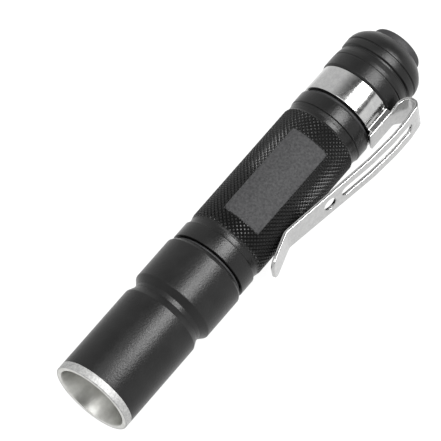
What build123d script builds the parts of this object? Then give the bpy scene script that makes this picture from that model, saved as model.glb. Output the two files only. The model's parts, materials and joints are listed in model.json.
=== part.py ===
"""Keychain flashlight for one AAA cell: aluminium head, knurled tube, tail cap and steel clip.

Frame: millimetres, +Z up. The light lies on a flat surface with its axis along +X, and the
origin is the centre of the front rim, so the head points towards -X and the tail towards +X.
Stations along the axis are distances from the front rim. Every piece is made with the clip
straight down (towards -Z), and the whole light is then rolled onto the edge of its clip.
"""

import math
import os
from build123d import *

# ---------------------------------------------------------------- driving dimensions
# Outside of the light
BARREL_R = 7.20          # head barrel and front rim
SKIRT_R = 7.50           # rear skirt of the head, the widest turned part
COLLAR_R = 7.17          # plain collar behind the head
KNURL_R = 7.10           # crests of the knurl
REAR_COLLAR_R = 7.08     # plain collar in front of the clip's ring
TOTAL_LENGTH = 81.4      # front rim to the crown of the rubber button

# Head stations
RIM_BAND = 1.35          # bare metal band in front of the black barrel
RIM_OPENING_R = 6.3
BARREL_END = 17.45
NECK_FRONT = 18.8
NECK_REAR = 19.65
SKIRT_FRONT = 21.0
SKIRT_END = 28.7
HEAD_END = 29.25
NECK_R = 6.58

# Tube stations
TUBE_FRONT = 19.9
COLLAR_FRONT = 30.0
COLLAR_REAR = 33.0
KNURL_FRONT = 35.1
KNURL_REAR = 59.2
REAR_COLLAR = 61.2
SPIGOT_FRONT = 63.65
SPIGOT_REAR = 64.6
SPIGOT_R = 6.32          # the clip's ring runs on it
TUBE_REAR = 73.0
DIP_R = 6.85
CELL_BORE_R = 5.38
LABEL_FRONT = 37.4       # plain panel ground into the knurl
LABEL_REAR = 55.8
LABEL_WIDTH = 7.2
LABEL_MIDDLE_R = 6.87    # distance from the axis to the panel's middle
LABEL_CURVE_R = 9.4      # the panel is rounder than a flat and flatter than the tube
LABEL_ANGLE = 72.0       # from the clip's middle round to the panel's middle

# Threads: one lead for the head, a finer one for the tail cap
HEAD_PITCH = 1.0
HEAD_THREAD = (21.9, 27.4)
CAP_PITCH = 0.75
CAP_THREAD = (70.1, 72.7)
THREAD_SINK = 0.06       # how far a ridge is buried in the metal that carries it

# Clip, folded from one strip of sheet steel
SHEET = 0.6
RING_FRONT = 64.65
RING_REAR = 69.7
RING_BORE_R = 6.38
RING_R = 6.95
CLIP_WIDTH = 5.9
CLIP_TIP_WIDTH = 4.6
NECK_WIDTH = 3.8         # narrow base of the clip, between the two halves of its ring
BASE_FRONT = 63.85       # the base runs a little way over the collar
BASE_R = 7.45            # middle of the sheet at the base
FOLD_STATION = 73.1      # where the strip turns back towards the head
FOLD_R = 9.55            # distance from the axis at which the strip folds back
CLIP_TOP_R = 11.10       # middle of the sheet where the arm stands farthest out
LIP_R = 7.60             # middle of the sheet where the lip almost meets the knurl
LIP_STATION = 41.3
SLOT_FRONT = 53.3        # long slot down the middle of the arm
SLOT_REAR = 70.3
SLOT_WIDTH = 2.1
RING_HOLE_STATION = 50.7  # round hole that takes a split ring or a cord
RING_HOLE_R = 1.3

# Tail cap and button
CAP_FRONT = 69.76
CAP_END = 79.6
CAP_R = 7.15
CAP_RIM_R = 5.36         # end of the cap's dome, round the button
BUTTON_R = 4.60
BUTTON_HOLE_R = 4.72

# AAA cell
CELL_FRONT = 20.5
CELL_R = 5.25
CELL_LENGTH = 44.5

# Resting attitude: the skirt and the lower corner of the clip both touch the surface
clip_corner_r = math.hypot(CLIP_TOP_R + SHEET / 2, CLIP_WIDTH / 2)
clip_corner_turn = math.degrees(math.atan2(CLIP_WIDTH / 2, CLIP_TOP_R + SHEET / 2))
clip_below_level = math.degrees(math.asin(SKIRT_R / clip_corner_r)) - clip_corner_turn
ROLL = 90.0 - clip_below_level


# ---------------------------------------------------------------- helpers
def turned(*outline):
    """Solid of revolution about X from (station, radius) points."""
    face = make_face(Polyline(*outline, close=True))
    return revolve(face, Axis.X)


def tube(front, rear, outer, inner=0.0):
    """Plain round piece between two stations."""
    return turned((front, inner), (rear, inner), (rear, outer), (front, outer))


def o_ring(station, centre_r, cord_r):
    """Rubber ring lying round the axis."""
    section = Location((station, centre_r)) * Circle(cord_r)
    return revolve(section, Axis.X)


def crown_arc(edge, apex):
    """Arc from a (station, radius) edge point to an apex on the axis, square to the axis there."""
    run = edge[0] - apex
    centre = apex + (run**2 + edge[1] ** 2) / (2 * run)
    half_turn = math.atan2(edge[1], abs(centre - edge[0])) / 2
    radius = centre - apex
    middle = (centre - radius * math.cos(half_turn), abs(radius) * math.sin(half_turn))
    return ThreePointArc(edge, middle, (apex, 0))


def thread_ridge(span, pitch, base_r, tip_r, base_width, tip_width):
    """Helical ridge about +X, from its wide base radius to its narrow tip radius.

    Four helices bound it. Ridges of one pitch whose spans differ by a whole number of
    pitches lie exactly behind one another, so a nut ridge set half a pitch on meshes.
    """
    front, rear = span
    height = rear - front

    def helix(radius, shift):
        wire = Edge.make_helix(pitch, height, radius, center=(front + shift, 0, 0), normal=(1, 0, 0))
        return wire.edges()[0]

    corners = [
        (base_r, -base_width / 2),
        (tip_r, -tip_width / 2),
        (tip_r, tip_width / 2),
        (base_r, base_width / 2),
    ]
    curves = [helix(radius, shift) for radius, shift in corners]
    walls = [Face.make_surface_from_curves(a, b) for a, b in zip(curves, curves[1:] + curves[:1])]
    caps = []
    for end in (0, 1):
        ends = [curve.position_at(end) for curve in curves]
        caps.append(Face(Wire.make_polygon(ends, close=True)))
    return Solid(Shell(walls + caps))


def coil(front, rear, centre_r, wire_r, turns):
    """Round-wire compression spring along X."""
    length = rear - front - 2 * wire_r
    start = (front + wire_r, 0, 0)
    path = Edge.make_helix(length / turns, length, centre_r, center=start, normal=(1, 0, 0))
    section = Plane(origin=path @ 0, z_dir=path % 0) * Circle(wire_r)
    return sweep(section, path=path, is_frenet=True)


def sheet_metal(middle, bends, width):
    """Strip of sheet bent along a middle line of (station, distance below the axis) points."""
    points = [(station, 0, -distance) for station, distance in middle]
    line = FilletPolyline(*points, radius=bends)
    flat = Plane.XZ.to_local_coords(Curve() + line)
    face = trace(flat, SHEET)
    return extrude(Plane.XZ * face, amount=width / 2, both=True)


# ---------------------------------------------------------------- head
def bezel_cup():
    """Bare metal rim, light cone and the threadless plug that holds the lens."""
    return turned(
        (0.08, RIM_OPENING_R),
        (0.0, RIM_OPENING_R + 0.1),
        (0.0, BARREL_R - 0.12),
        (0.12, BARREL_R),
        (RIM_BAND, BARREL_R),
        (RIM_BAND, 6.30),
        (9.5, 6.30),
        (9.5, 5.25),
        (6.6, 5.25),
        (6.6, 4.70),
        (4.6, 5.30),
    )


def lens():
    """Plano-convex collimator with a flange for its seal."""
    flange_front = 7.25
    flange_rear = 8.4
    dome_r = 4.4
    apex = 5.6
    profile = make_face(
        [
            Line((apex, 0), (flange_rear, 0)),
            Line((flange_rear, 0), (flange_rear, 5.2)),
            Line((flange_rear, 5.2), (flange_front, 5.2)),
            Line((flange_front, 5.2), (flange_front, dome_r)),
            crown_arc((flange_front, dome_r), apex),
        ]
    )
    return revolve(profile, Axis.X)


def lens_seal():
    """Ring between the lens flange and the cup."""
    return o_ring(6.92, 4.95, 0.24)


def head_barrel():
    """Black head: slim barrel, neck groove and a wider skirt over the tube's thread."""
    shell = turned(
        (RIM_BAND, 6.32),
        (RIM_BAND, BARREL_R),
        (BARREL_END, BARREL_R),
        (NECK_FRONT, NECK_R),
        (NECK_REAR, NECK_R),
        (SKIRT_FRONT - 0.25, SKIRT_R),
        (SKIRT_END, SKIRT_R),
        (HEAD_END, COLLAR_R),
        (HEAD_END, 6.75),
        (28.2, 6.75),
        (27.8, 6.36),
        (21.4, 6.36),
        (21.1, 5.95),
        (19.8, 5.95),
        (19.8, 5.60),
        (15.2, 5.60),
        (15.2, 5.90),
        (9.6, 5.90),
        (9.6, 6.32),
    )
    front, rear = HEAD_THREAD
    half = HEAD_PITCH / 2
    nut_span = (front + half, rear + half)
    ridge = thread_ridge(nut_span, HEAD_PITCH, 6.36 + THREAD_SINK, 6.04, 0.52, 0.22)
    return shell + ridge


def led_pill():
    """Aluminium holder behind the lens: board seat in front, driver pocket behind."""
    holder = turned(
        (15.3, 5.20),
        (15.3, 5.58),
        (19.78, 5.58),
        (19.78, 5.20),
        (18.0, 5.20),
        (18.0, 0.0),
        (17.0, 0.0),
        (17.0, 5.20),
    )
    return holder - lead_holes(16.5, 18.5)


def lead_holes(front, rear):
    """Two through holes for the leads, either side of the axis."""
    holes = Part()
    for side in (-1, 1):
        drill = Cylinder(0.55, rear - front, rotation=(0, 90, 0))
        holes += Location(((front + rear) / 2, side * 2.8, 0)) * drill
    return holes


def led_board():
    """Metal-core board with two lead holes."""
    return tube(15.98, 16.98, 5.15) - lead_holes(15.5, 17.5)


def led_package():
    """Square ceramic base of the red emitter."""
    return Location((15.58, 0, 0)) * Box(0.76, 3.45, 3.45)


def led_dome():
    """Moulded dome over the red die."""
    ball = Location((15.18, 0, 0)) * Sphere(1.3)
    return ball - Location((17.18, 0, 0)) * Box(4.0, 4.0, 4.0)


def led_leads():
    """Two insulated wires from the driver through the pill to the front of the board."""
    wires = Part()
    for side in (-1, 1):
        corners = [(18.88, side * 2.8, 0), (15.55, side * 2.8, 0), (15.55, side * 1.95, 0)]
        path = FilletPolyline(*corners, radius=0.4)
        section = Plane(origin=path @ 0, z_dir=path % 0) * Circle(0.38)
        wires += sweep(section, path=path)
    return wires


def driver_board():
    """Round board that regulates the single cell's voltage."""
    return tube(18.9, 19.7, 5.15)


def driver_coil():
    """Choke of the boost circuit, soldered in the pill's pocket."""
    return Location((18.48, 0, 0)) * Box(0.8, 3.0, 3.0)


def contact_stud():
    """Brass button that meets the cell's positive cap."""
    return turned((19.72, 0.0), (20.42, 0.0), (20.42, 1.4), (20.2, 1.7), (19.72, 1.7))


# ---------------------------------------------------------------- tube
def body_tube():
    """Cell tube: threaded nose, two collars, knurled grip and threaded rear spigot."""
    shell = turned(
        (TUBE_FRONT, CELL_BORE_R),
        (TUBE_FRONT, 5.80),
        (21.5, 5.80),
        (21.65, 5.96),
        (29.28, 5.96),
        (29.28, 6.24),
        (COLLAR_FRONT, 6.24),
        (COLLAR_FRONT, COLLAR_R),
        (COLLAR_REAR, COLLAR_R),
        (33.2, 6.88),
        (33.5, DIP_R),
        (34.1, DIP_R),
        (KNURL_FRONT, KNURL_R),
        (KNURL_REAR, KNURL_R),
        (59.7, DIP_R),
        (60.4, DIP_R),
        (REAR_COLLAR - 0.15, 6.98),
        (REAR_COLLAR - 0.05, 6.88),
        (REAR_COLLAR + 0.05, REAR_COLLAR_R),
        (SPIGOT_FRONT, REAR_COLLAR_R),
        (SPIGOT_FRONT, 5.86),
        (SPIGOT_REAR, 5.86),
        (SPIGOT_REAR, SPIGOT_R),
        (69.6, SPIGOT_R),
        (69.8, 5.90),
        (TUBE_REAR, 5.90),
        (TUBE_REAR, CELL_BORE_R),
    )
    head_ridge = thread_ridge(HEAD_THREAD, HEAD_PITCH, 5.96 - THREAD_SINK, 6.28, 0.52, 0.22)
    cap_ridge = thread_ridge(CAP_THREAD, CAP_PITCH, 5.90 - THREAD_SINK, 6.14, 0.38, 0.18)
    return shell + head_ridge + cap_ridge - label_panel()


def label_panel():
    """Shallow cut that leaves a plain, gently curved panel in the knurl."""
    length = LABEL_REAR - LABEL_FRONT
    middle = (LABEL_FRONT + LABEL_REAR) / 2
    curve_axis = LABEL_CURVE_R - LABEL_MIDDLE_R
    block = Location((middle, 0, -BARREL_R)) * Box(length, LABEL_WIDTH, 2.4)
    bottom = Location((middle, 0, curve_axis)) * Cylinder(LABEL_CURVE_R, length + 2, rotation=(0, 90, 0))
    return Rotation(-LABEL_ANGLE, 0, 0) * (block - bottom)


def head_o_ring():
    """Seal seen in the gap between the head and the front collar."""
    return o_ring(29.64, 6.50, 0.25)


def tail_o_ring():
    """Seal seen in the gap in front of the clip's ring."""
    return o_ring(64.12, 6.22, 0.34)


def cell_can():
    """Steel can of the cell, negative end towards the tail."""
    rear = CELL_FRONT + CELL_LENGTH
    return turned((22.0, 0), (22.0, 5.05), (rear - 0.5, 5.05), (rear - 0.5, 4.2), (rear, 4.0), (rear, 0))


def cell_cap():
    """Pressed positive cap and its nub."""
    return turned(
        (CELL_FRONT, 0),
        (CELL_FRONT, 1.7),
        (CELL_FRONT + 0.2, 1.9),
        (21.4, 1.9),
        (21.4, 4.2),
        (22.0, 4.2),
        (22.0, 0),
    )


def cell_jacket():
    """Plain plastic sleeve shrunk round the can."""
    front = CELL_FRONT + 0.9
    rear = CELL_FRONT + CELL_LENGTH - 0.2
    return turned(
        (front, 4.4),
        (front, CELL_R),
        (rear, CELL_R),
        (rear, 4.6),
        (rear - 0.25, 4.6),
        (rear - 0.25, 5.07),
        (21.8, 5.07),
        (21.8, 4.4),
    )


# ---------------------------------------------------------------- clip
def ring_section():
    """Ring closed by the flat base of the clip, which stands proud on two short walls."""
    outer_plate = BASE_R + SHEET / 2
    half = NECK_WIDTH / 2
    foot = half + 0.12
    foot_drop = math.sqrt(RING_R**2 - foot**2) - 0.05
    base = make_face(
        Polyline(
            (-foot, -foot_drop),
            (-half, -outer_plate),
            (half, -outer_plate),
            (foot, -foot_drop),
            close=True,
        )
    )
    pocket_top = -RING_BORE_R + 1.0
    pocket_bottom = -outer_plate + SHEET
    pocket = make_face(
        Polyline(
            (-half + SHEET, pocket_top),
            (-half + SHEET, pocket_bottom),
            (half - SHEET, pocket_bottom),
            (half - SHEET, pocket_top),
            close=True,
        )
    )
    return Circle(RING_R) + base - pocket - Circle(RING_BORE_R)


CLIP_MIDDLE_LINE = [
    (RING_REAR - 1.2, BASE_R),
    (69.3, BASE_R),
    (70.3, 7.80),
    (72.1, 8.15),
    (FOLD_STATION, 8.85),
    (FOLD_STATION, FOLD_R),
    (FOLD_STATION, 10.2),
    (FOLD_STATION - 0.7, 10.75),
    (69.5, CLIP_TOP_R),
    (65.5, CLIP_TOP_R),
    (60.0, 10.62),
    (LIP_STATION, LIP_R),
    (34.9, 9.75),
]
LEG_POINTS = 6
LEG_BENDS = [0.8, 0.5, 1.5, 0.55]
ARM_BENDS = [0.5, 0.8, 6.0, 20.0, 20.0, 1.6]


def clip_ring():
    """Ring round the spigot with the leg that rises from its base to the fold."""
    section = ring_section()
    ring = Location((RING_FRONT, 0, 0)) * extrude(Plane.YZ * section, amount=RING_REAR - RING_FRONT)
    base_length = RING_REAR - 1.0 - BASE_FRONT
    base = Location((BASE_FRONT + base_length / 2, 0, -BASE_R)) * Box(base_length, NECK_WIDTH, SHEET)
    leg = sheet_metal(CLIP_MIDDLE_LINE[:LEG_POINTS], LEG_BENDS, CLIP_WIDTH) & leg_outline()
    return ring + base + leg - tube(RING_FRONT - 1, RING_REAR + 1, RING_BORE_R)


def leg_outline():
    """Prism that narrows the leg to the neck's width where it leaves the ring."""
    neck_end = RING_REAR + 0.1
    full_width = RING_REAR + 1.3
    rear = FOLD_STATION + 2
    half_neck = NECK_WIDTH / 2
    half_clip = CLIP_WIDTH / 2
    outline = Polyline(
        (RING_FRONT, -half_neck),
        (neck_end, -half_neck),
        (full_width, -half_clip),
        (rear, -half_clip),
        (rear, half_clip),
        (full_width, half_clip),
        (neck_end, half_neck),
        (RING_FRONT, half_neck),
        close=True,
    )
    return extrude(Location((0, 0, -15)) * make_face(outline), amount=15)


def arm_outline():
    """Arm seen from outside: tapered, with rounded tip corners, a long slot and a round hole."""
    root = FOLD_STATION + 0.6
    tip = CLIP_MIDDLE_LINE[-1][0] - 0.4
    taper = make_face(
        Polyline(
            (tip, -CLIP_TIP_WIDTH / 2),
            (root, -CLIP_WIDTH / 2),
            (root, CLIP_WIDTH / 2),
            (tip, CLIP_TIP_WIDTH / 2),
            close=True,
        )
    )
    tip_corners = taper.vertices().group_by(Axis.X)[0]
    outline = fillet(tip_corners, 1.5)
    slot_middle = (SLOT_FRONT + SLOT_REAR) / 2
    slot = Location((slot_middle, 0)) * SlotOverall(SLOT_REAR - SLOT_FRONT, SLOT_WIDTH)
    hole = Location((RING_HOLE_STATION, 0)) * Circle(RING_HOLE_R)
    return outline - slot - hole


def clip_arm():
    """Spring arm from the fold to the flared lip."""
    strip = sheet_metal(CLIP_MIDDLE_LINE[LEG_POINTS - 1 :], ARM_BENDS, CLIP_WIDTH + 1)
    cutter = extrude(Location((0, 0, -20)) * arm_outline(), amount=20)
    return strip & cutter


# ---------------------------------------------------------------- tail
def tail_cap():
    """Tail cap: four bands parted by grooves, a domed end and a hole for the button."""
    dome_front = 76.6
    groove_r = CAP_R - 0.15
    waist_r = 6.74
    outside = Polyline(
        (CAP_FRONT, 6.36),
        (CAP_FRONT, CAP_R - 0.25),
        (CAP_FRONT + 0.3, CAP_R),
        (72.4, CAP_R),
        (72.45, groove_r),
        (72.65, groove_r),
        (72.75, CAP_R - 0.04),
        (73.4, CAP_R - 0.08),
        (74.35, 6.86),
        (74.42, waist_r),
        (74.75, waist_r),
        (74.95, CAP_R - 0.05),
        (76.02, CAP_R),
        (76.07, groove_r),
        (76.35, groove_r),
        (76.42, CAP_R),
        (dome_front, CAP_R),
    )
    dome = ThreePointArc((dome_front, CAP_R), (78.6, 6.34), (CAP_END, CAP_RIM_R))
    inside = Polyline(
        (CAP_END, CAP_RIM_R),
        (CAP_END, BUTTON_HOLE_R),
        (78.6, BUTTON_HOLE_R),
        (78.6, 5.60),
        (75.1, 5.60),
        (75.1, 6.22),
        (CAP_FRONT + 0.25, 6.22),
        (CAP_FRONT, 6.36),
    )
    shell = revolve(make_face([outside, dome, inside]), Axis.X)
    front, rear = CAP_THREAD
    half = CAP_PITCH / 2
    nut_span = (front + half, rear + half)
    ridge = thread_ridge(nut_span, CAP_PITCH, 6.22 + THREAD_SINK, 5.98, 0.38, 0.18)
    return shell + ridge


def battery_spring():
    """Straight coil that presses on the cell's negative end."""
    return coil(65.05, 74.15, 3.2, 0.35, 6)


def switch_board():
    """Round board that carries the switch and the spring."""
    return tube(74.2, 74.95, 5.55)


def retaining_ring():
    """Brass ring that clamps the board, with two holes for a pin spanner."""
    ring = tube(73.35, 74.15, 5.90, 4.2)
    for side in (-1, 1):
        drill = Cylinder(0.4, 2.0, rotation=(0, 90, 0))
        ring -= Location((73.75, 0, side * 5.05)) * drill
    return ring


def switch_body():
    """Low click switch with a round throat for its plunger."""
    block = Location((76.18, 0, 0)) * Box(2.4, 6.2, 6.2)
    return fillet(block.edges().filter_by(Axis.X), 0.5) - tube(75.3, 77.6, 1.2)


def switch_plunger():
    """White plunger of the switch, moved by the button."""
    return tube(76.4, 78.55, 1.1)


def switch_spring():
    """Small coil under the plunger."""
    return coil(75.32, 76.38, 0.7, 0.11, 3)


def boot_washer():
    """Plastic washer between the board's cover and the rubber flange."""
    return tube(77.45, 77.85, 5.55, 4.85)


def switch_spacer():
    """Plastic spacer that keeps the board and the washer apart."""
    return tube(75.0, 77.43, 5.55, 4.85)


def boot_flange():
    """Rubber flange clamped inside the cap's shoulder."""
    return tube(77.88, 78.58, 5.55, BUTTON_R + 0.15)


def boot_dome():
    """Rubber button: rounded crown, hollow inside, with a nub over the plunger."""
    wall_front = 78.62
    wall_r = BUTTON_R - 0.8
    shoulder = TOTAL_LENGTH - 0.1
    round_r = 0.7
    round_middle = round_r * math.sin(math.radians(45))
    outside = [
        Line((wall_front, wall_r), (wall_front, BUTTON_R)),
        Line((wall_front, BUTTON_R), (shoulder - round_r, BUTTON_R)),
        ThreePointArc(
            (shoulder - round_r, BUTTON_R),
            (shoulder - round_r + round_middle, BUTTON_R - round_r + round_middle),
            (shoulder, BUTTON_R - round_r),
        ),
        crown_arc((shoulder, BUTTON_R - round_r), TOTAL_LENGTH),
    ]
    nub_front = wall_front - 0.05
    ceiling = 80.5
    inside = Polyline(
        (TOTAL_LENGTH, 0),
        (nub_front, 0),
        (nub_front, 1.3),
        (ceiling, 1.5),
        (ceiling, wall_r - 0.4),
        (ceiling - 0.4, wall_r),
        (wall_front, wall_r),
    )
    return revolve(make_face(outside + [inside]), Axis.X)


# ---------------------------------------------------------------- write every piece
PIECES = [
    bezel_cup,
    lens,
    lens_seal,
    head_barrel,
    led_dome,
    led_package,
    led_board,
    led_pill,
    led_leads,
    driver_board,
    driver_coil,
    contact_stud,
    body_tube,
    head_o_ring,
    tail_o_ring,
    cell_can,
    cell_cap,
    cell_jacket,
    clip_ring,
    clip_arm,
    tail_cap,
    battery_spring,
    switch_board,
    retaining_ring,
    switch_body,
    switch_plunger,
    switch_spring,
    switch_spacer,
    boot_washer,
    boot_flange,
    boot_dome,
]

os.makedirs("parts", exist_ok=True)
for piece in PIECES:
    shape = Rotation(-ROLL, 0, 0) * piece()
    export_step(shape, f"parts/{piece.__name__}.step")
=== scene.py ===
"""Looks for the keychain flashlight: materials, the cut knurl, studio light and the camera."""

import bisect
import json
import math

import bmesh
import bpy
from mathutils import Matrix, Vector
from mathutils.geometry import delaunay_2d_cdt


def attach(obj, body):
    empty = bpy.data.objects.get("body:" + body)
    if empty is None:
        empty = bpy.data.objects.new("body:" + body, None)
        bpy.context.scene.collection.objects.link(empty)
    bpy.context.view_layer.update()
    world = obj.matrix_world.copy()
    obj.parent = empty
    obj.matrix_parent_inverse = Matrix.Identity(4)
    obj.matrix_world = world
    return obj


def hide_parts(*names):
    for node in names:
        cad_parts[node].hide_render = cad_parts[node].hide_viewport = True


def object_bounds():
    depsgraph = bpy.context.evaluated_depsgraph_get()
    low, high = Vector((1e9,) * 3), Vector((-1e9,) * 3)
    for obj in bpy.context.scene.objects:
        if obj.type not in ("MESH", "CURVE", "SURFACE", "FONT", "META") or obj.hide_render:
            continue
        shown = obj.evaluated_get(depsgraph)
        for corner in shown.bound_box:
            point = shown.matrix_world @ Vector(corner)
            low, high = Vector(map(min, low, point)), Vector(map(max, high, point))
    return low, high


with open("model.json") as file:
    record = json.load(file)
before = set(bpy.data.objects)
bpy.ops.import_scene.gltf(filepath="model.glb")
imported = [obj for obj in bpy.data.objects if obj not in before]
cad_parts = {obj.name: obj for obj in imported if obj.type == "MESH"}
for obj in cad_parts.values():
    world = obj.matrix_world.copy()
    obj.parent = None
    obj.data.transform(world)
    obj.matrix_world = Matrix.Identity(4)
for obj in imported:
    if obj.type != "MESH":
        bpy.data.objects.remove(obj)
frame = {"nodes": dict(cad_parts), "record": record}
cad_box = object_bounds()
nodes = frame["nodes"]

MM = 0.001

# ------------------------------------------------------------------ sizes shared with the CAD
BARREL_R = 7.20
SKIRT_R = 7.50
COLLAR_R = 7.17
CREST_R = 7.10           # knurl crests
REAR_COLLAR_R = 7.08
NECK_R = 6.58
DIP_R = 6.85
CELL_BORE_R = 5.38
SPIGOT_R = 6.32
KNURL_FRONT = 35.1
KNURL_REAR = 59.2
LABEL_FRONT = 37.4
LABEL_REAR = 55.8
LABEL_WIDTH = 7.2
LABEL_MIDDLE_R = 6.87
LABEL_CURVE_R = 9.4
LABEL_ANGLE = 72.0
LABEL_CORNER = 0.5
DIAMONDS_ROUND = 51
DIAMOND_PITCH = 0.87
STEPS_PER_DIAMOND = 6
KNURL_DEPTH = 0.25
CREST_START = 0.27       # share of the way to a tooth's middle at which its flat crest starts
TUBE_REAR = 73.0
HEAD_THREAD = (21.9, 27.4)
HEAD_PITCH = 1.0
HEAD_ROOT_R = 5.96
CAP_THREAD = (70.1, 72.7)
CAP_PITCH = 0.75
CAP_ROOT_R = 5.90
CAP_FRONT = 69.76
CAP_R = 7.15
CAP_END = 79.6
CAP_RIM_R = 5.36
BUTTON_R = 4.60
BUTTON_HOLE_R = 4.72
TOTAL_LENGTH = 81.4
SHEET = 0.6
RING_FRONT = 64.65
RING_REAR = 69.7
RING_BORE_R = 6.38
RING_R = 6.95
BASE_R = 7.45
NECK_WIDTH = 3.8
BASE_FRONT = 63.85
CLIP_WIDTH = 5.9
CLIP_TIP_WIDTH = 4.6
TIP_CORNER = 1.5
FOLD_STATION = 73.1
FOLD_R = 9.55
CLIP_TOP_R = 11.10
TAPER_START = 69.5
SLOT_FRONT = 53.3
SLOT_REAR = 70.3
SLOT_WIDTH = 2.1
SPLIT_RING_STATION = 50.7
SPLIT_RING_HOLE_R = 1.3
CLIP_BELOW_LEVEL = 25.054  # how far the clip points below the horizontal, in degrees


# ------------------------------------------------------------------ camera
def place_camera():
    """Sees the light from the front left and above, its head tipped towards the lens."""
    tip = math.radians(20.2)     # the head leans this far out of the picture plane
    rise = math.radians(48.77)   # the axis climbs this steeply across the picture
    turn = math.radians(25.0)    # the clip stands this far round from the lower right edge
    tail_seen = Vector((math.cos(tip) * math.cos(rise), math.cos(tip) * math.sin(rise), -math.sin(tip)))
    edge_seen = Vector((math.sin(rise), -math.cos(rise), 0))
    face_seen = edge_seen.cross(tail_seen)
    clip_seen = math.cos(turn) * edge_seen + math.sin(turn) * face_seen

    below = math.radians(CLIP_BELOW_LEVEL)
    tail = Vector((1, 0, 0))
    clip = Vector((0, -math.cos(below), -math.sin(below)))
    third = tail.cross(clip)
    third_seen = tail_seen.cross(clip_seen)
    right, up, back = (
        tail_seen[i] * tail + clip_seen[i] * clip + third_seen[i] * third for i in range(3)
    )
    distance = 0.7211            # lens to the front rim
    rim_right = -0.02068         # where the rim's centre lies beside the line of sight
    rim_up = -0.02853
    data = bpy.data.cameras.new("camera")
    data.sensor_width = 36.0
    data.lens = 367.3
    data.clip_start = 0.01
    data.clip_end = 10.0
    camera = bpy.data.objects.new("camera", data)
    bpy.context.scene.collection.objects.link(camera)
    camera.matrix_world = Matrix((right, up, back)).transposed().to_4x4()
    camera.location = distance * back - rim_right * right - rim_up * up
    bpy.context.scene.camera = camera
    return right, up, back


# ------------------------------------------------------------------ node helpers
def new_material(name):
    """Material with an empty principled shader; returns material, tree and shader."""
    material = bpy.data.materials.new(name)
    material.use_nodes = True
    tree = material.node_tree
    return material, tree, tree.nodes["Principled BSDF"]


def add(tree, kind, **settings):
    """New node with the given properties or input values."""
    node = tree.nodes.new(kind)
    for key, value in settings.items():
        if hasattr(node, key) and key not in node.inputs:
            setattr(node, key, value)
        else:
            node.inputs[key.replace("_", " ")].default_value = value
    return node


def object_coordinates(tree, scale=(1, 1, 1)):
    """Position in the object, in millimetres, stretched by scale."""
    coordinates = add(tree, "ShaderNodeTexCoord")
    mapping = add(tree, "ShaderNodeMapping")
    mapping.inputs["Scale"].default_value = [1000 * s for s in scale]
    tree.links.new(coordinates.outputs["Object"], mapping.inputs["Vector"])
    return mapping.outputs["Vector"]


def noise(tree, vector, scale, detail=2.0, roughness=0.5):
    """Noise of the given scale per millimetre, about 0.3 to 0.7."""
    node = add(tree, "ShaderNodeTexNoise")
    node.inputs["Scale"].default_value = scale
    node.inputs["Detail"].default_value = detail
    node.inputs["Roughness"].default_value = roughness
    tree.links.new(vector, node.inputs["Vector"])
    return node.outputs["Fac"]


def ramp(tree, factor, low, high, value_low, value_high):
    """Maps factor from low..high to value_low..value_high."""
    node = add(tree, "ShaderNodeMapRange")
    node.inputs["From Min"].default_value = low
    node.inputs["From Max"].default_value = high
    node.inputs["To Min"].default_value = value_low
    node.inputs["To Max"].default_value = value_high
    tree.links.new(factor, node.inputs["Value"])
    return node.outputs["Result"]


def mix_colour(tree, factor, a, b):
    """Colour a where factor is 0 and b where it is 1; each is a colour or a socket."""
    node = add(tree, "ShaderNodeMix", data_type="RGBA")
    tree.links.new(factor, node.inputs[0])
    for socket, value in ((node.inputs[6], a), (node.inputs[7], b)):
        if isinstance(value, bpy.types.NodeSocket):
            tree.links.new(value, socket)
        else:
            socket.default_value = (*value, 1)
    return node.outputs[2]


def between(tree, factor, low, high, dark, light):
    """Colour that runs from dark to light while factor runs from low to high."""
    return mix_colour(tree, ramp(tree, factor, low, high, 0.0, 1.0), dark, light)


def bump(tree, height, strength, distance_mm, normal=None):
    """Normal tilted by a height, on top of an earlier normal where one is given."""
    node = add(tree, "ShaderNodeBump")
    node.inputs["Strength"].default_value = strength
    node.inputs["Distance"].default_value = distance_mm * MM
    tree.links.new(height, node.inputs["Height"])
    if normal is not None:
        tree.links.new(normal, node.inputs["Normal"])
    return node.outputs["Normal"]


# ------------------------------------------------------------------ materials
def beyond(tree, where, direction, distance, soft=0.04):
    """1 where the place is farther than distance along the direction, on either side of 0."""
    along = add(tree, "ShaderNodeVectorMath", operation="DOT_PRODUCT")
    along.inputs[1].default_value = direction
    tree.links.new(where, along.inputs[0])
    far = add(tree, "ShaderNodeMath", operation="ABSOLUTE")
    tree.links.new(along.outputs["Value"], far.inputs[0])
    return ramp(tree, far.outputs[0], distance - soft, distance + soft, 0.0, 1.0)


def panel_mask(tree, where):
    """1 on the plain panel of the tube, 0 elsewhere."""
    turn = math.radians(180 - LABEL_ANGLE - 90 + CLIP_BELOW_LEVEL)
    outward = Vector((0, -math.sin(turn), math.cos(turn)))
    sideways = Vector((0, math.cos(turn), math.sin(turn)))
    middle = add(tree, "ShaderNodeVectorMath", operation="SUBTRACT")
    middle.inputs[1].default_value = Vector(((LABEL_FRONT + LABEL_REAR) / 2, 0, 0)) - 20 * outward
    tree.links.new(where, middle.inputs[0])
    from_panel = middle.outputs[0]
    ends = beyond(tree, from_panel, (1, 0, 0), (LABEL_REAR - LABEL_FRONT) / 2)
    sides = beyond(tree, from_panel, sideways, LABEL_WIDTH / 2)
    front = beyond(tree, from_panel, outward, 25.0, 0.1)
    outside = add(tree, "ShaderNodeMath", operation="MAXIMUM")
    tree.links.new(ends, outside.inputs[0])
    tree.links.new(sides, outside.inputs[1])
    inside = add(tree, "ShaderNodeMath", operation="SUBTRACT", use_clamp=True)
    tree.links.new(front, inside.inputs[0])
    tree.links.new(outside.outputs[0], inside.inputs[1])
    return inside.outputs[0]


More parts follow.
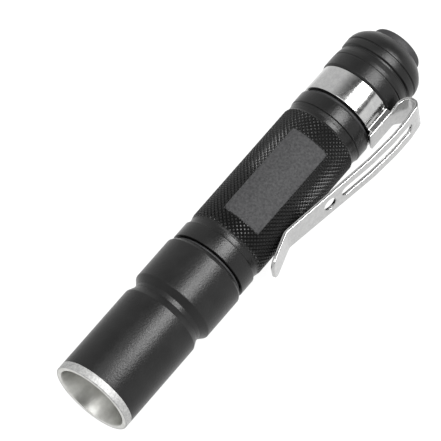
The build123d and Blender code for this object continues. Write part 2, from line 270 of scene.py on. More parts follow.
def blasted(tree, where, grain):
    """Normal of a bead-blasted surface: fine grain over shallow pits."""
    pits = noise(tree, where, 3.4, 1.0, 0.5)
    return bump(tree, grain, 0.6, 0.03, bump(tree, pits, 0.5, 0.05))


def knurled():
    """Anodising of the tube, its plain panel blasted to an even dark grey."""
    material, tree, shader = new_material("knurled_anodised")
    where = object_coordinates(tree)
    grain = noise(tree, where, 5.0, 3.0, 0.65)
    panel = panel_mask(tree, where)
    black = between(tree, grain, 0.35, 0.65, (0.003, 0.003, 0.003), (0.007, 0.007, 0.007))
    mottle = noise(tree, where, 2.6, 3.0, 0.6)
    grey = between(tree, mottle, 0.3, 0.7, (0.018, 0.018, 0.019), (0.046, 0.046, 0.047))
    tree.links.new(mix_colour(tree, panel, black, grey), shader.inputs["Base Color"])
    tree.links.new(ramp(tree, panel, 0.0, 1.0, 0.30, 0.75), shader.inputs["Roughness"])
    tree.links.new(blasted(tree, where, grain), shader.inputs["Normal"])
    shader.inputs["IOR"].default_value = 1.35
    return material


def anodised():
    """Bead-blasted black anodising: fine grain, faint cloudiness, a little rubbed brightness."""
    material, tree, shader = new_material("black_anodised")
    where = object_coordinates(tree)
    grain = noise(tree, where, 5.0, 3.0, 0.65)
    cloud = noise(tree, where, 0.35, 3.0, 0.5)
    tint = between(tree, cloud, 0.35, 0.65, (0.003, 0.003, 0.003), (0.006, 0.006, 0.006))
    tree.links.new(tint, shader.inputs["Base Color"])
    tree.links.new(ramp(tree, grain, 0.3, 0.7, 0.27, 0.42), shader.inputs["Roughness"])
    tree.links.new(blasted(tree, where, grain), shader.inputs["Normal"])
    shader.inputs["IOR"].default_value = 1.35
    return material


def bare_aluminium():
    """Turned aluminium: fine lathe rings round the axis, the outer band duller than the cone."""
    material, tree, shader = new_material("bare_aluminium")
    where = object_coordinates(tree)
    rings = noise(tree, object_coordinates(tree, (1, 0.02, 0.02)), 9.0, 2.0, 0.6)
    blotch = noise(tree, where, 0.8, 3.0, 0.55)
    grain = noise(tree, where, 3.0, 3.0, 0.6)
    from_axis = add(tree, "ShaderNodeVectorMath", operation="LENGTH")
    tree.links.new(object_coordinates(tree, (0, 1, 1)), from_axis.inputs[0])
    band = ramp(tree, from_axis.outputs["Value"], 6.9, 7.1, 0.0, 1.0)
    cone = between(tree, blotch, 0.3, 0.7, (0.47, 0.47, 0.445), (0.60, 0.60, 0.58))
    dull = between(tree, grain, 0.35, 0.65, (0.33, 0.33, 0.33), (0.50, 0.50, 0.49))
    tree.links.new(mix_colour(tree, band, cone, dull), shader.inputs["Base Color"])
    tree.links.new(ramp(tree, band, 0.0, 1.0, 0.33, 0.66), shader.inputs["Roughness"])
    tree.links.new(bump(tree, rings, 0.25, 0.02, bump(tree, grain, 0.3, 0.03)), shader.inputs["Normal"])
    shader.inputs["Metallic"].default_value = 1.0
    return material


def clip_steel():
    """Bright nickel plate over rolled sheet: long faint rolling lines and light scuffs."""
    material, tree, shader = new_material("clip_steel")
    where = object_coordinates(tree)
    rolled = noise(tree, object_coordinates(tree, (0.05, 1, 1)), 6.0, 2.0, 0.5)
    scuff = noise(tree, where, 1.4, 4.0, 0.6)
    tint = between(tree, scuff, 0.35, 0.65, (0.42, 0.42, 0.42), (0.49, 0.49, 0.485))
    tree.links.new(tint, shader.inputs["Base Color"])
    tree.links.new(ramp(tree, scuff, 0.35, 0.7, 0.14, 0.20), shader.inputs["Roughness"])
    tree.links.new(bump(tree, rolled, 0.08, 0.01), shader.inputs["Normal"])
    shader.inputs["Metallic"].default_value = 1.0
    return material


def rubber():
    """Matte black moulded rubber with a fine pebble and dust-greyed high spots."""
    material, tree, shader = new_material("rubber")
    where = object_coordinates(tree)
    pebble = noise(tree, where, 7.0, 2.0, 0.5)
    dust = noise(tree, where, 0.9, 3.0, 0.6)
    tint = between(tree, dust, 0.45, 0.75, (0.012, 0.012, 0.013), (0.022, 0.022, 0.023))
    tree.links.new(tint, shader.inputs["Base Color"])
    tree.links.new(ramp(tree, pebble, 0.3, 0.7, 0.55, 0.75), shader.inputs["Roughness"])
    tree.links.new(bump(tree, pebble, 0.3, 0.03), shader.inputs["Normal"])
    return material


def plain(name, low, high, roughness, metallic=0.0, clear=None):
    """Moulded, plated or coated small part: two close tones, fine grain in gloss and surface."""
    material, tree, shader = new_material(name)
    where = object_coordinates(tree)
    fine = noise(tree, where, 4.0, 3.0, 0.55)
    tree.links.new(between(tree, fine, 0.3, 0.7, low, high), shader.inputs["Base Color"])
    gloss = ramp(tree, fine, 0.3, 0.7, roughness * 0.85, roughness * 1.15)
    tree.links.new(gloss, shader.inputs["Roughness"])
    tree.links.new(bump(tree, fine, 0.12, 0.02), shader.inputs["Normal"])
    shader.inputs["Metallic"].default_value = metallic
    if clear is not None:
        shader.inputs["Transmission Weight"].default_value = clear
        shader.inputs["IOR"].default_value = 1.5
    return material


MATERIALS = {
    "black_anodised": anodised(),
    "knurled": knurled(),
    "bare_aluminium": bare_aluminium(),
    "clip_steel": clip_steel(),
    "rubber": rubber(),
    "lens_glass": plain("lens_glass", (0.93, 0.95, 0.96), (0.97, 0.98, 0.99), 0.04, clear=1.0),
    "led_resin": plain("led_resin", (0.60, 0.03, 0.02), (0.75, 0.06, 0.04), 0.12, clear=0.7),
    "ceramic": plain("ceramic", (0.75, 0.74, 0.70), (0.82, 0.81, 0.77), 0.35),
    "board_white": plain("board_white", (0.70, 0.70, 0.68), (0.78, 0.78, 0.76), 0.40),
    "board_green": plain("board_green", (0.02, 0.11, 0.05), (0.03, 0.16, 0.07), 0.35),
    "ferrite": plain("ferrite", (0.03, 0.03, 0.03), (0.06, 0.06, 0.06), 0.60),
    "lead_insulation": plain("lead_insulation", (0.40, 0.02, 0.02), (0.52, 0.03, 0.03), 0.45),
    "brass": plain("brass", (0.70, 0.50, 0.22), (0.80, 0.60, 0.30), 0.28, metallic=1.0),
    "spring_steel": plain("spring_steel", (0.50, 0.50, 0.48), (0.62, 0.62, 0.60), 0.28, metallic=1.0),
    "cell_steel": plain("cell_steel", (0.60, 0.60, 0.60), (0.72, 0.72, 0.72), 0.30, metallic=1.0),
    "cell_sleeve": plain("cell_sleeve", (0.05, 0.06, 0.08), (0.07, 0.08, 0.11), 0.30),
    "white_plastic": plain("white_plastic", (0.72, 0.72, 0.69), (0.80, 0.80, 0.77), 0.45),
    "switch_case": plain("switch_case", (0.015, 0.015, 0.016), (0.03, 0.03, 0.03), 0.50),
}


def dress_cad_nodes():
    """Every CAD node gets the material of its own slot."""
    for part in frame["record"]["subparts"]:
        mesh = nodes[part["node"]].data
        mesh.materials.clear()
        mesh.materials.append(MATERIALS[part["material_slot"]])


# ------------------------------------------------------------------ shaping
def corner_arc(before, here, after, radius, steps):
    """Points of the arc that rounds one corner of an outline."""
    to_before = before - here
    to_after = after - here
    half = to_before.angle(to_after) / 2
    reach = radius / math.tan(half)
    reach = min(reach, 0.48 * to_before.length, 0.48 * to_after.length)
    start = here + to_before.normalized() * reach
    end = here + to_after.normalized() * reach
    bisector = (to_before.normalized() + to_after.normalized()).normalized()
    centre = here + bisector * (reach / math.cos(half))
    arm = start - centre
    sweep = math.pi - 2 * half
    if arm.cross(end - centre) < 0:
        sweep = -sweep
    arc = []
    for k in range(steps + 1):
        turn = sweep * k / steps
        c, w = math.cos(turn), math.sin(turn)
        arc.append(centre + Vector((c * arm.x - w * arm.y, w * arm.x + c * arm.y)))
    return arc


def rounded(outline, steps=4):
    """Closed outline of (station, radius, corner radius) points with its corners rounded."""
    points = []
    count = len(outline)
    for i, (x, r, radius) in enumerate(outline):
        here = Vector((x, r))
        if radius == 0:
            points.append(here)
            continue
        before = Vector(outline[i - 1][:2])
        after = Vector(outline[(i + 1) % count][:2])
        points += corner_arc(before, here, after, radius, steps)
    return points


def divided(points, spans):
    """Closed outline with extra points inside the given (low, high, step) station spans."""
    result = []
    for i, start in enumerate(points):
        end = points[(i + 1) % len(points)]
        result.append(start)
        for low, high, step in spans:
            left, right = sorted((start.x, end.x))
            if left > high or right < low or right - left < step:
                continue
            pieces = math.ceil((right - left) / step)
            result += [start.lerp(end, k / pieces) for k in range(1, pieces)]
            break
    return result


def placed(x, across, below):
    """Point in metres from its station, its place across the clip and its distance below the axis.

    Below means towards the clip, as the light would be drawn with its clip straight down.
    """
    roll = math.radians(90.0 - CLIP_BELOW_LEVEL)
    y = across * math.cos(roll) - below * math.sin(roll)
    z = -across * math.sin(roll) - below * math.cos(roll)
    return (x * MM, y * MM, z * MM)


def revolved(points, columns, radius_at=None):
    """Vertices and faces of a closed outline turned about X.

    Columns is a count or a list of angles from the side opposite the clip, counted about +X.
    radius_at(x, r, angle) may reshape the turned surface.
    """
    if isinstance(columns, int):
        columns = [2 * math.pi * k / columns for k in range(columns)]
    verts = []
    for point in points:
        for angle in columns:
            r = point.y if radius_at is None else radius_at(point.x, point.y, angle)
            verts.append(placed(point.x, -r * math.sin(angle), -r * math.cos(angle)))
    faces = []
    rows = len(points)
    count = len(columns)
    for i in range(rows):
        following = (i + 1) % rows
        for j in range(count):
            k = (j + 1) % count
            a, b = i * count + j, i * count + k
            c, d = following * count + k, following * count + j
            if (i + j) % 2:
                faces += [(a, b, c), (a, c, d)]
            else:
                faces += [(a, b, d), (b, c, d)]
    return verts, faces


def mesh_object(name, verts, faces, sharp_degrees=24.0):
    """Mesh in the scene, outward normals, smooth but for its sharp edges."""
    mesh = bpy.data.meshes.new(name)
    mesh.from_pydata(verts, [], faces)
    work = bmesh.new()
    work.from_mesh(mesh)
    bmesh.ops.recalc_face_normals(work, faces=work.faces)
    work.to_mesh(mesh)
    work.free()
    mesh.shade_smooth()
    mesh.set_sharp_from_angle(angle=math.radians(sharp_degrees))
    piece = bpy.data.objects.new(name, mesh)
    bpy.context.scene.collection.objects.link(piece)
    return piece


def stand_for(piece, body, node, material=None):
    """The piece takes the place, body and material of a CAD node."""
    slot = next(p["material_slot"] for p in frame["record"]["subparts"] if p["node"] == node)
    piece.data.materials.append(material or MATERIALS[slot])
    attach(piece, body)
    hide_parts(node)
    return piece


# ------------------------------------------------------------------ threads, knurl and panel
def ridge_height(x, angle, span, pitch, tall, base_width, tip_width):
    """Height of a helical thread ridge above its root at a station and angle."""
    front, rear = span
    turns_in = (x - front) / pitch - angle / (2 * math.pi)
    turn = round(turns_in)
    along = turn + angle / (2 * math.pi)
    if along < 0 or along > (rear - front) / pitch:
        return 0.0
    off = abs(turns_in - turn) * pitch
    slope = (base_width - tip_width) / 2
    return tall * min(1.0, max(0.0, (base_width / 2 - off) / slope))


def head_ridge(x, angle, lead=0.0):
    """Height of the head's thread ridge; lead shifts it along the axis."""
    span = (HEAD_THREAD[0] + lead, HEAD_THREAD[1] + lead)
    return ridge_height(x, angle, span, HEAD_PITCH, 0.32, 0.52, 0.22)


def cap_ridge(x, angle, lead=0.0):
    """Height of the tail cap's thread ridge; lead shifts it along the axis."""
    span = (CAP_THREAD[0] + lead, CAP_THREAD[1] + lead)
    return ridge_height(x, angle, span, CAP_PITCH, 0.24, 0.38, 0.18)


def knurl_height(x, angle):
    """Height between 0 in a groove and 1 on a crest of the diamond pattern."""
    across = angle * DIAMONDS_ROUND / (2 * math.pi)
    along = (x - KNURL_FRONT) / DIAMOND_PITCH
    nearest = min(0.5 - abs((along + side * across) % 1.0 - 0.5) for side in (-1, 1))
    return min(1.0, nearest / CREST_START)


def in_label(x, swing):
    """True where the plain panel lies, corners rounded."""
    half_length = (LABEL_REAR - LABEL_FRONT) / 2
    from_middle = abs(x - (LABEL_FRONT + LABEL_REAR) / 2)
    across = abs(CREST_R * math.sin(swing))
    if math.cos(swing) < 0.5 or from_middle > half_length:
        return False
    past_x = from_middle - (half_length - LABEL_CORNER)
    past_y = across - (LABEL_WIDTH / 2 - LABEL_CORNER)
    if past_y > LABEL_CORNER:
        return False
    return past_x <= 0 or past_y <= 0 or math.hypot(past_x, past_y) <= LABEL_CORNER


def tube_radius(x, r, angle):
    """Tube surface with its threads, knurl and plain panel."""
    if r < CELL_BORE_R + 0.05:
        return r
    if HEAD_THREAD[0] - 0.5 < x < HEAD_THREAD[1] + 0.5 and r < HEAD_ROOT_R + 0.04:
        return r + head_ridge(x, angle)
    if CAP_THREAD[0] - 0.4 < x < TUBE_REAR - 0.05 and r < CAP_ROOT_R + 0.05:
        return r + cap_ridge(x, angle)
    if KNURL_FRONT - 1.2 < x < KNURL_REAR + 1.2 and r > DIP_R:
        swing = angle - math.radians(180 - LABEL_ANGLE)
        if in_label(x, swing):
            curve_axis = LABEL_CURVE_R - LABEL_MIDDLE_R
            reach = LABEL_CURVE_R**2 - (curve_axis * math.sin(swing)) ** 2
            return math.sqrt(reach) - curve_axis * math.cos(swing)
        return min(r, CREST_R - KNURL_DEPTH * (1 - knurl_height(x, angle)))
    return r


def tube_skin():
    """Knurled tube with real diamond teeth, plain panel and both threads."""
    outline = [
        (19.9, CELL_BORE_R, 0.08),
        (19.9, 5.80, 0.12),
        (21.5, 5.80, 0),
        (21.65, HEAD_ROOT_R, 0),
        (29.28, HEAD_ROOT_R, 0),
        (29.28, 6.24, 0.05),
        (30.0, 6.24, 0),
        (30.0, COLLAR_R, 0.12),
        (33.0, COLLAR_R, 0.06),
        (33.2, 6.88, 0.05),
        (33.5, DIP_R, 0.2),
        (34.1, DIP_R, 0.3),
        (KNURL_FRONT, CREST_R, 0),
        (KNURL_REAR, CREST_R, 0),
        (59.7, DIP_R, 0.3),
        (60.4, DIP_R, 0.2),
        (61.05, 6.98, 0.06),
        (61.15, 6.88, 0.02),
        (61.25, REAR_COLLAR_R, 0.06),
        (63.65, REAR_COLLAR_R, 0.12),
        (63.65, 5.86, 0),
        (64.6, 5.86, 0),
        (64.6, SPIGOT_R, 0.05),
        (69.6, SPIGOT_R, 0.05),
        (69.8, CAP_ROOT_R, 0),
        (TUBE_REAR, CAP_ROOT_R, 0.1),
        (TUBE_REAR, CELL_BORE_R, 0.08),
    ]
    step = DIAMOND_PITCH / STEPS_PER_DIAMOND
    knurl = (KNURL_FRONT - 0.9, KNURL_REAR + 0.5, step)
    threads = [(21.65, 28.0, HEAD_PITCH / 12), (69.8, TUBE_REAR, CAP_PITCH / 12)]
    points = divided(rounded(outline), [knurl, *threads])
    shape = revolved(points, DIAMONDS_ROUND * STEPS_PER_DIAMOND, tube_radius)
    return mesh_object("knurled_tube", *shape)


# ------------------------------------------------------------------ head and tail
ROUND = 180              # columns round a plain turned piece


def barrel_skin():
    """Head with eased edges and its inner thread, half a pitch on from the tube's."""

    def radius_at(x, r, angle):
        if 21.5 < x < 27.8 and 6.3 < r < 6.4:
            return r - head_ridge(x, angle, HEAD_PITCH / 2)
        return r

    outline = [
        (1.35, 6.32, 0),
        (1.35, BARREL_R, 0.05),
        (17.45, BARREL_R, 0.35),
        (18.8, NECK_R, 0.2),
        (19.65, NECK_R, 0.15),
        (20.75, SKIRT_R, 0.35),
        (28.7, SKIRT_R, 0.2),
        (29.25, COLLAR_R, 0.1),
        (29.25, 6.75, 0.05),
        (28.2, 6.75, 0),
        (27.8, 6.36, 0),
        (21.4, 6.36, 0),
        (21.1, 5.95, 0),
        (19.8, 5.95, 0),
        (19.8, 5.60, 0),
        (15.2, 5.60, 0),
        (15.2, 5.90, 0),
        (9.6, 5.90, 0),
        (9.6, 6.32, 0),
    ]
    points = divided(rounded(outline), [(21.4, 27.8, HEAD_PITCH / 12)])
    return mesh_object("head_shell", *revolved(points, ROUND, radius_at))


def bezel_skin():
    """Bare rim and light cone, edges broken as a tool leaves them."""
    outline = [
        (0.0, 6.34, 0.08),
        (0.0, BARREL_R, 0.12),
        (1.35, BARREL_R, 0.05),
        (1.35, 6.30, 0),
        (9.5, 6.30, 0),
        (9.5, 5.25, 0),
        (6.6, 5.25, 0),
        (6.6, 4.70, 0.06),
        (4.6, 5.30, 0.4),
    ]
    points = divided(rounded(outline), [(0.1, 4.5, 0.4)])
    return mesh_object("bezel_rim", *revolved(points, ROUND))


def cap_skin():
    """Tail cap with its bands, waist, grooves, domed end and inner thread."""

    def radius_at(x, r, angle):
        if CAP_FRONT + 0.3 < x < 73.5 and 6.2 < r < 6.25:
            return r - cap_ridge(x, angle, CAP_PITCH / 2)
        return r

    groove_r = CAP_R - 0.15
    outline = [
        (CAP_FRONT, 6.36, 0),
        (CAP_FRONT, CAP_R - 0.25, 0.05),
        (CAP_FRONT + 0.3, CAP_R, 0.15),
        (72.4, CAP_R, 0.06),
        (72.45, groove_r, 0.02),
        (72.65, groove_r, 0.02),
        (72.75, CAP_R - 0.04, 0.06),
        (73.4, CAP_R - 0.08, 0.6),
        (74.35, 6.86, 0.05),
        (74.42, 6.74, 0.03),
        (74.75, 6.74, 0.05),
        (74.95, CAP_R - 0.05, 0.15),
        (76.02, CAP_R, 0.06),
        (76.07, groove_r, 0.02),
        (76.35, groove_r, 0.02),
        (76.42, CAP_R, 0.06),
        (76.6, CAP_R, 0),
        (77.3, 7.03, 0),
        (78.0, 6.76, 0),
        (78.6, 6.34, 0),
        (79.15, 5.86, 0),
        (CAP_END, CAP_RIM_R, 0.08),
        (CAP_END, BUTTON_HOLE_R, 0.08),
        (78.6, BUTTON_HOLE_R, 0),
        (78.6, 5.60, 0),
        (75.1, 5.60, 0),
        (75.1, 6.22, 0),
        (CAP_FRONT + 0.25, 6.22, 0),
    ]
    points = divided(rounded(outline), [(CAP_FRONT + 0.25, 73.5, CAP_PITCH / 12)])
    return mesh_object("tail_shell", *revolved(points, ROUND, radius_at))


def button_skin():
    """Rubber button with a soft round edge and a slightly raised crown."""
    shoulder = TOTAL_LENGTH - 0.1
    outline = [
        (78.62, 3.8, 0),
        (78.62, BUTTON_R, 0),
        (shoulder, BUTTON_R, 0.7),
        (TOTAL_LENGTH, 0.02, 0),
        (78.57, 0.02, 0),
        (78.57, 1.3, 0),
        (80.5, 1.5, 0),
        (80.5, 3.4, 0),
        (80.1, 3.8, 0),
    ]
    return mesh_object("button_skin", *revolved(rounded(outline, 8), ROUND))


# ------------------------------------------------------------------ sheet-metal clip
def bent_line(points, bends, step=0.35):
    """Middle line of the sheet: points with their bend radii, in even short steps."""
    line = [Vector(points[0])]
    for i, radius in enumerate(bends, start=1):
        before, here, after = (Vector(points[i + k]) for k in (-1, 0, 1))
        line += corner_arc(before, here, after, radius, 8)
    line.append(Vector(points[-1]))
    even = [line[0]]
    for end in line[1:]:
        start = even[-1]
        pieces = max(1, math.ceil((end - start).length / step))
        even += [start.lerp(end, k / pieces) for k in range(1, pieces + 1)]
    return even


class Sheet:
    """Flat pattern laid along a bent middle line. Places are (length along, across, height)."""

    def __init__(self, line, thickness):
        self.line = line
        self.thickness = thickness
        self.lengths = [0.0]
        for a, b in zip(line, line[1:]):
            self.lengths.append(self.lengths[-1] + (b - a).length)
        self.normals = []
        for i in range(len(line)):
            ahead = line[min(i + 1, len(line) - 1)] - line[max(i - 1, 0)]
            self.normals.append(Vector((-ahead.y, ahead.x)).normalized())

    def point(self, along, across, height):
        i = max(0, min(len(self.line) - 2, bisect.bisect_right(self.lengths, along) - 1))
        share = (along - self.lengths[i]) / (self.lengths[i + 1] - self.lengths[i])
        spot = self.line[i].lerp(self.line[i + 1], share)
        normal = self.normals[i].lerp(self.normals[i + 1], min(1.0, max(0.0, share)))
        spot = spot + normal.normalized() * height
        return placed(spot.x, across, spot.y)

    def length_at(self, station):
        """Length along at which the line first passes a station."""
        for i in range(len(self.line) - 1):
            a, b = self.line[i].x, self.line[i + 1].x
            if min(a, b) <= station <= max(a, b) and a != b:
                share = (station - a) / (b - a)
                return self.lengths[i] + share * (self.lengths[i + 1] - self.lengths[i])
        raise ValueError(station)

    def solid(self, border, openings, round_r, grid=0.7):
        """Vertices and faces of the sheet inside border, less the openings, with rounded edges.

        Border and openings are loops of (along, across) points with the metal on their left.
        """
        loops = [[Vector(p) for p in loop] for loop in (border, *openings)]
        rims = [inset_loop(loop, round_r) for loop in loops]
        spots, triangles = filled(loops[0], rims, grid)
        half = self.thickness / 2
        under = len(spots)
        verts = [self.point(p.x, p.y, half) for p in spots]
        verts += [self.point(p.x, p.y, -half) for p in spots]
        faces = triangles + [tuple(k + under for k in reversed(t)) for t in triangles]
        for loop, rim in zip(loops, rims):
            top = [nearest_index(spots, p) for p in rim]
            rows = [top]
            for out, height in round_over(half, round_r):
                rows.append(range(len(verts), len(verts) + len(rim)))
                for edge_point, rim_point in zip(loop, rim):
                    spot = rim_point.lerp(edge_point, out)
                    verts.append(self.point(spot.x, spot.y, height))
            rows.append([k + under for k in top])
            for upper, lower in zip(rows, rows[1:]):
                for k in range(len(upper)):
                    following = (k + 1) % len(upper)
                    faces.append((upper[k], upper[following], lower[following], lower[k]))
        return verts, faces


def round_over(half, round_r, steps=6):
    """(Share of the way out, height) of each step round a sheet's edge, from top to bottom."""
    result = []
    for k in range(1, 2 * steps):
        turn = math.pi / 2 * (1 - k / steps)
        straight = 0.0 if k == steps else math.copysign(half - round_r, turn)
        result.append((math.cos(turn), straight + round_r * math.sin(turn)))
    return result


def filled(border, rims, grid):
    """Points and triangles that fill the first rim less the others, about a grid step apart."""
    flat = [p for rim in rims for p in rim]
    edges = []
    first = 0
    for rim in rims:
        edges += [(first + k, first + (k + 1) % len(rim)) for k in range(len(rim))]
        first += len(rim)
    low = Vector((min(p.x for p in border), min(p.y for p in border)))
    high = Vector((max(p.x for p in border), max(p.y for p in border)))
    columns = math.ceil((high.x - low.x) / grid)
    rows = math.ceil((high.y - low.y) / grid)
    for i in range(1, columns):
        for j in range(1, rows):
            spot = Vector((low.x + i * grid, low.y + (high.y - low.y) * j / rows))
            if in_metal(rims, spot) and min((spot - p).length for p in flat) > 0.3 * grid:
                flat.append(spot)
    spots, _, triangles, *_ = delaunay_2d_cdt(flat, edges, [], 1, 1e-6)
    inside = []
    for triangle in triangles:
        middle = sum((spots[k] for k in triangle), Vector((0, 0))) / 3
        if in_metal(rims, middle):
            inside.append(tuple(triangle))
    return spots, inside


def in_metal(rims, spot):
    """True inside the first rim and outside the others."""
    return all(encloses(rim, spot) == (k == 0) for k, rim in enumerate(rims))


def inset_loop(loop, distance):
    """Loop moved into the metal on its left."""
    moved = []
    count = len(loop)
    for k, here in enumerate(loop):
        ahead = (loop[(k + 1) % count] - here).normalized()
        behind = (here - loop[k - 1]).normalized()
        along = (ahead + behind).normalized()
        scale = 1 / max(0.5, along.dot(ahead))
        moved.append(here + Vector((-along.y, along.x)) * distance * scale)
    return moved


def encloses(loop, spot):
    """True when the spot lies inside the loop."""
    inside = False
    for k, a in enumerate(loop):
        b = loop[k - 1]
        if (a.y > spot.y) != (b.y > spot.y):
            crossing = a.x + (spot.y - a.y) / (b.y - a.y) * (b.x - a.x)
            inside ^= spot.x < crossing
    return inside


def nearest_index(spots, place):
    """Index of the spot nearest to a place."""
    return min(range(len(spots)), key=lambda k: (spots[k] - place).length_squared)


def joined(*shapes):
    """One shape of several (vertices, faces) shapes."""
    verts, faces = [], []
    for more_verts, more_faces in shapes:
        first = len(verts)
        verts += more_verts
        faces += [tuple(k + first for k in face) for face in more_faces]
    return verts, faces


CLIP_MIDDLE_LINE = [
    (RING_REAR - 1.2, BASE_R),
    (69.3, BASE_R),
    (70.3, 7.80),
    (72.1, 8.15),
    (FOLD_STATION, 8.85),
    (FOLD_STATION, FOLD_R),
    (FOLD_STATION, 10.2),
    (FOLD_STATION - 0.7, 10.75),
    (69.5, CLIP_TOP_R),
    (65.5, CLIP_TOP_R),
    (60.0, 10.62),
    (41.3, 7.60),
    (34.9, 9.75),
]
LEG_POINTS = 6
LEG_BENDS = [0.8, 0.5, 1.5, 0.55]
ARM_BENDS = [0.5, 0.8, 6.0, 20.0, 20.0, 1.6]
EDGE_ROUND = 0.14
FOLD_LAP = 0.25          # the two halves of the fold run this far into each other


def taper(start, end, first_width, last_width):
    """Function for half a sheet's width, which changes evenly between start and end."""

    def half_width_at(along):
        share = min(1.0, max(0.0, (along - start) / (end - start)))
        return (first_width + (last_width - first_width) * share) / 2

    return half_width_at


def edge_points(half_width_at, start, end, side, step=0.4):
    """Points along one long edge of a sheet."""
    count = max(2, math.ceil(abs(end - start) / step))
    result = []
    for k in range(count + 1):
        along = start + (end - start) * k / count
        result.append((along, side * half_width_at(along)))
    return result


def round_hole(middle, radius, count=28):
    """Circle with the metal on its left, so it runs clockwise."""
    return [
        (
            middle + radius * math.cos(2 * math.pi * k / count),
            -radius * math.sin(2 * math.pi * k / count),
        )
        for k in range(count)
    ]


def long_slot(front, rear, width, count=12):
    """Slot with round ends, clockwise."""
    radius = width / 2
    ends = ((rear - radius, 90.0), (front + radius, -90.0))
    points = []
    for centre, start in ends:
        for k in range(count + 1):
            turn = math.radians(start - 180.0 * k / count)
            points.append((centre + radius * math.cos(turn), radius * math.sin(turn)))
    sides = max(2, round((rear - front) / 0.6))
    low = [(front + radius + (rear - front - width) * k / sides, radius) for k in range(1, sides)]
    high = [(rear - radius - (rear - front - width) * k / sides, -radius) for k in range(1, sides)]
    return points[: count + 1] + high + points[count + 1 :] + low


def arm_skin():
    """Spring arm with its slot, split-ring hole and rounded tip."""
    points = CLIP_MIDDLE_LINE[LEG_POINTS - 1 :]
    points = [(FOLD_STATION, FOLD_R - FOLD_LAP), *points[1:]]
    sheet = Sheet(bent_line(points, ARM_BENDS), SHEET)
    total = sheet.lengths[-1]
    tip = total - 0.1
    half_width = taper(sheet.length_at(TAPER_START), total, CLIP_WIDTH, CLIP_TIP_WIDTH)
    turns = [math.radians(90.0 * k / 8) for k in range(9)]
    corner = [(math.sin(turn), math.cos(turn)) for turn in turns]
    end = tip - TIP_CORNER
    width = half_width(end) - TIP_CORNER
    near = edge_points(half_width, 0.0, end, -1)
    far = edge_points(half_width, 0.0, end, 1)[::-1]
    near_tip = [(end + TIP_CORNER * x, -width - TIP_CORNER * y) for x, y in corner[1:]]
    far_tip = [(end + TIP_CORNER * x, width + TIP_CORNER * y) for x, y in corner[:-1]][::-1]
    middle_tip = [(tip, -width + 2 * width * k / 5) for k in range(1, 6)]
    root = [(0.0, half_width(0) * (1 - 2 * k / 8)) for k in range(1, 8)]
    border = without_repeats(near + near_tip + middle_tip + far_tip + far + root)
    slot = long_slot(sheet.length_at(SLOT_REAR), sheet.length_at(SLOT_FRONT), SLOT_WIDTH)
    hole = round_hole(sheet.length_at(SPLIT_RING_STATION), SPLIT_RING_HOLE_R)
    shape = sheet.solid(border, [slot, hole], EDGE_ROUND)
    return mesh_object("clip_arm_skin", *shape, sharp_degrees=50)


def without_repeats(loop):
    """Loop less the points that lie on the one before."""
    kept = []
    for point in loop:
        if not kept or math.dist(point, kept[-1]) > 0.02:
            kept.append(point)
    if math.dist(kept[0], kept[-1]) < 0.02:
        kept.pop()
    return kept


def leg_shape():
    """Base and leg: from just over the collar, along the ring's flat, up to the fold."""
    middle = CLIP_MIDDLE_LINE[1 : LEG_POINTS - 1]
    points = [(BASE_FRONT, BASE_R), *middle, (FOLD_STATION, FOLD_R + FOLD_LAP)]
    sheet = Sheet(bent_line(points, LEG_BENDS), SHEET - 0.01)
    total = sheet.lengths[-1]
    neck_end = sheet.length_at(RING_REAR + 0.1)
    half_width = taper(neck_end, sheet.length_at(RING_REAR + 1.3), NECK_WIDTH, CLIP_WIDTH)
    near = edge_points(half_width, 0.0, total, -1)
    far = edge_points(half_width, 0.0, total, 1)[::-1]
    last = [(total, -CLIP_WIDTH / 2 + CLIP_WIDTH * k / 8) for k in range(1, 8)]
    first = [(0.0, NECK_WIDTH / 2 - NECK_WIDTH * k / 6) for k in range(1, 6)]
    return sheet.solid(near + last + far + first, [], EDGE_ROUND)


def ring_section(plate, half, circle_r, foot_r, soft):
    """Outer or inner outline of the clip's ring as (angle from the clip, radius) pairs."""
    foot = Vector((half + 0.06, foot_r))
    beyond_turn = math.atan2(foot.x, foot.y) + math.radians(9.0)
    beyond = Vector((circle_r * math.sin(beyond_turn), circle_r * math.cos(beyond_turn)))
    corners = [Vector((0.0, plate)), Vector((half, plate)), foot, beyond]
    points = [corners[0], corners[0].lerp(corners[1], 0.5)]
    points += corner_arc(*corners[0:3], soft, 5)
    points += corner_arc(*corners[1:4], soft, 5)
    pairs = [(math.atan2(p.x, p.y), p.length) for p in points]
    turn = beyond_turn
    while turn < math.pi:
        pairs.append((turn, circle_r))
        turn += math.radians(2.0)
    pairs.append((math.pi, circle_r))
    return pairs


def radius_from(pairs, turn):
    """Radius at an angle, read between the (angle, radius) pairs."""
    turns = [p[0] for p in pairs]
    k = min(len(pairs) - 1, max(1, bisect.bisect_left(turns, turn)))
    (a, low), (b, high) = pairs[k - 1], pairs[k]
    share = (turn - a) / (b - a) if b > a else 0.0
    return low + (high - low) * share


def ring_skin():
    """Polished ring with the flat base that carries the leg."""
    half = NECK_WIDTH / 2
    plate = BASE_R + SHEET / 2 - 0.02
    outer = ring_section(plate, half, RING_R, RING_R * 0.953, 0.16)
    inner = ring_section(plate - SHEET, half - SHEET, RING_BORE_R, RING_BORE_R * 0.985, 0.1)
    turns = sorted({round(t, 5) for t, _ in outer + inner})
    columns = [math.pi - t for t in reversed(turns)] + [math.pi + t for t in turns if 0 < t < 3.14]

    def radius_at(x, r, angle):
        turn = abs(math.pi - angle)
        low = radius_from(inner, turn)
        high = radius_from(outer, turn)
        return low + (high - low) * (r - RING_BORE_R) / (RING_R - RING_BORE_R)

    outline = [
        (RING_FRONT, RING_BORE_R, 0.05),
        (RING_FRONT, RING_R, 0.12),
        (RING_REAR, RING_R, 0.12),
        (RING_REAR, RING_BORE_R, 0.05),
    ]
    ring = revolved(rounded(outline), columns, radius_at)
    return mesh_object("clip_ring_skin", *joined(ring, leg_shape()), sharp_degrees=40)


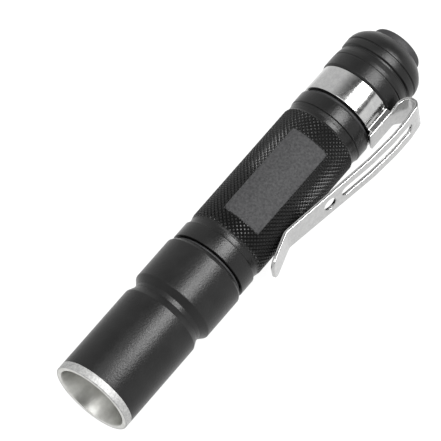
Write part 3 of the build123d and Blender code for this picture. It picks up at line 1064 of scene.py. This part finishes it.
# ------------------------------------------------------------------ studio
LAMP_DISTANCE = 0.5      # metres
LAMP_TARGET = Vector((0.040, 0, 0))


def paper(name, size, level):
    """Seamless white paper, lit a little from below so that shadows stay faint."""
    mesh = bpy.data.meshes.new(name)
    half = size / 2
    corners = [(-half, -half, 0), (half, -half, 0), (half, half, 0), (-half, half, 0)]
    mesh.from_pydata(corners, [], [(0, 1, 2, 3)])
    sheet = bpy.data.objects.new(name, mesh)
    sheet.location = (0, 0, level)
    bpy.context.scene.collection.objects.link(sheet)
    material, tree, shader = new_material("pale_paper")
    shader.inputs["Base Color"].default_value = (0.12, 0.12, 0.12, 1)
    shader.inputs["Roughness"].default_value = 0.9
    shader.inputs["Specular IOR Level"].default_value = 0.0
    shader.inputs["Emission Color"].default_value = (1, 1, 1, 1)
    shader.inputs["Emission Strength"].default_value = 0.97
    mesh.materials.append(material)
    return sheet


def surroundings(towards_key):
    """White walls all round, with the dark room behind the lamp left open."""
    world = bpy.data.worlds.new("studio")
    world.use_nodes = True
    tree = world.node_tree
    direction = add(tree, "ShaderNodeTexCoord").outputs["Generated"]
    facing = add(tree, "ShaderNodeVectorMath", operation="DOT_PRODUCT")
    facing.inputs[1].default_value = towards_key
    tree.links.new(direction, facing.inputs[0])
    light = ramp(tree, facing.outputs["Value"], 0.45, 0.88, 0.95, 0.06)
    tree.links.new(light, tree.nodes["Background"].inputs["Strength"])
    tree.nodes["Background"].inputs["Color"].default_value = (1, 1, 1, 1)
    bpy.context.scene.world = world


def soft_box(name, towards, width, length, power):
    """Lamp facing the middle of the flashlight, its length along the axis."""
    data = bpy.data.lights.new(name, "AREA")
    data.shape = "RECTANGLE"
    data.size = width
    data.size_y = length
    data.energy = power
    lamp = bpy.data.objects.new(name, data)
    bpy.context.scene.collection.objects.link(lamp)
    facing = towards.normalized()
    side = Vector((1, 0, 0)).cross(facing).normalized()
    length_axis = facing.cross(side)
    lamp.matrix_world = Matrix((side, length_axis, facing)).transposed().to_4x4()
    lamp.location = LAMP_TARGET + LAMP_DISTANCE * facing


def studio(right, up, back):
    """Pale floor, bright surroundings, a key lamp and a weak fill."""
    paper("floor", 4.0, cad_box[0].z)
    towards_key = (0.50 * right + 0.42 * up + 0.757 * back).normalized()
    surroundings(towards_key)
    soft_box("key", towards_key, width=0.26, length=0.30, power=4.1)
    towards_fill = -0.152 * right + 0.442 * up + 0.884 * back
    soft_box("fill", towards_fill, width=0.28, length=0.28, power=0.75)
    bpy.context.scene.view_settings.view_transform = "Standard"


right, up, back = place_camera()
dress_cad_nodes()
stand_for(tube_skin(), "tube", "body_tube", MATERIALS["knurled"])
stand_for(barrel_skin(), "head", "head_barrel")
stand_for(bezel_skin(), "head", "bezel_cup")
stand_for(cap_skin(), "cap", "tail_cap")
stand_for(button_skin(), "button", "boot_dome")
stand_for(ring_skin(), "clip_ring", "clip_ring")
stand_for(arm_skin(), "clip_arm", "clip_arm")
studio(right, up, back)
